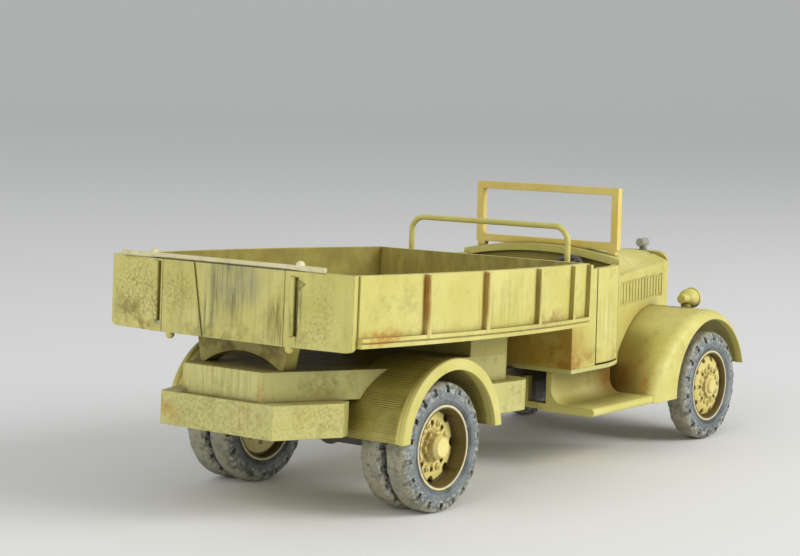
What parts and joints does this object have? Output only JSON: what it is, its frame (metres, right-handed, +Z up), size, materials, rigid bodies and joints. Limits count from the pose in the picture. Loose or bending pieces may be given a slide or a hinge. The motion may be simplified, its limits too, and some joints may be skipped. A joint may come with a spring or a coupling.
{
  "type": "scale model of an open-cab cargo truck",
  "caption": "Small display model of an open-cab cargo truck: stake-ribbed bed with bowed sides, twin rear wheels under round fenders, crowned hood and swept front fenders; its wheels turn.",
  "frame": {"origin": "on the ground under the middle of the truck's length and width", "axes": "+X forward along the truck, +Y to its left, +Z up"},
  "size_m": [0.0792, 0.0318, 0.0288],
  "materials": {
    "sand_paint": "satin, weathered",
    "wheel_paint": "satin, dusty",
    "dull_paint": "matt",
    "screen_paint": "satin",
    "cream_paint": "matt",
    "chassis_paint": "matt",
    "steel_paint": "satin",
    "seat_paint": "matt",
    "tyre_grey": "matt, dusty"
  },
  "bodies": {
    "truck": {"chassis_tray": "sand_paint", "chassis_box": "sand_paint", "bed_front_board": "sand_paint", "bed_side_left": "sand_paint", "bed_side_right": "sand_paint", "tail_corner_left": "sand_paint", "tail_corner_right": "sand_paint", "tailgate": "sand_paint", "rear_fender_left": "sand_paint", "rear_fender_right": "sand_paint", "cab_back": "sand_paint", "door_left": "sand_paint", "door_right": "sand_paint", "cowl": "sand_paint", "cab_hoop": "sand_paint", "hood": "sand_paint", "front_bumper": "sand_paint", "front_fender_left": "sand_paint", "front_fender_right": "sand_paint", "running_board_left": "sand_paint", "running_board_right": "sand_paint", "headlamp_left": "sand_paint", "headlamp_right": "sand_paint", "rear_bolster": "dull_paint", "front_bolster": "dull_paint", "cab_floor": "dull_paint", "dashboard": "dull_paint", "bed_floor": "dull_paint", "windscreen_frame": "screen_paint", "tailgate_rail": "cream_paint", "frame_rails": "chassis_paint", "rear_axle": "chassis_paint", "front_axle": "chassis_paint", "drive_line": "chassis_paint", "steering_wheel": "chassis_paint", "radiator_grille": "steel_paint", "radiator_cap": "steel_paint", "bench_seat": "seat_paint"},
    "front_left_wheel": {"tyre_front_left": "tyre_grey", "wheel_front_left": "wheel_paint"},
    "front_right_wheel": {"tyre_front_right": "tyre_grey", "wheel_front_right": "wheel_paint"},
    "rear_left_wheels": {"tyres_rear_left": "tyre_grey", "wheel_rear_left": "wheel_paint"},
    "rear_right_wheels": {"tyres_rear_right": "tyre_grey", "wheel_rear_right": "wheel_paint"}
  },
  "joints": [
    {"name": "front_left_roll", "type": "hinge", "parent": "truck", "child": "front_left_wheel", "pos_m": [0.0298, 0.01185, 0.0061], "axis": [0, 1, 0], "continuous": true},
    {"name": "front_right_roll", "type": "hinge", "parent": "truck", "child": "front_right_wheel", "pos_m": [0.0298, -0.01185, 0.0061], "axis": [0, 1, 0], "continuous": true},
    {"name": "rear_left_roll", "type": "hinge", "parent": "truck", "child": "rear_left_wheels", "pos_m": [-0.0229, 0.0108, 0.0061], "axis": [0, 1, 0], "continuous": true},
    {"name": "rear_right_roll", "type": "hinge", "parent": "truck", "child": "rear_right_wheels", "pos_m": [-0.0229, -0.0108, 0.0061], "axis": [0, 1, 0], "continuous": true}
  ]
}
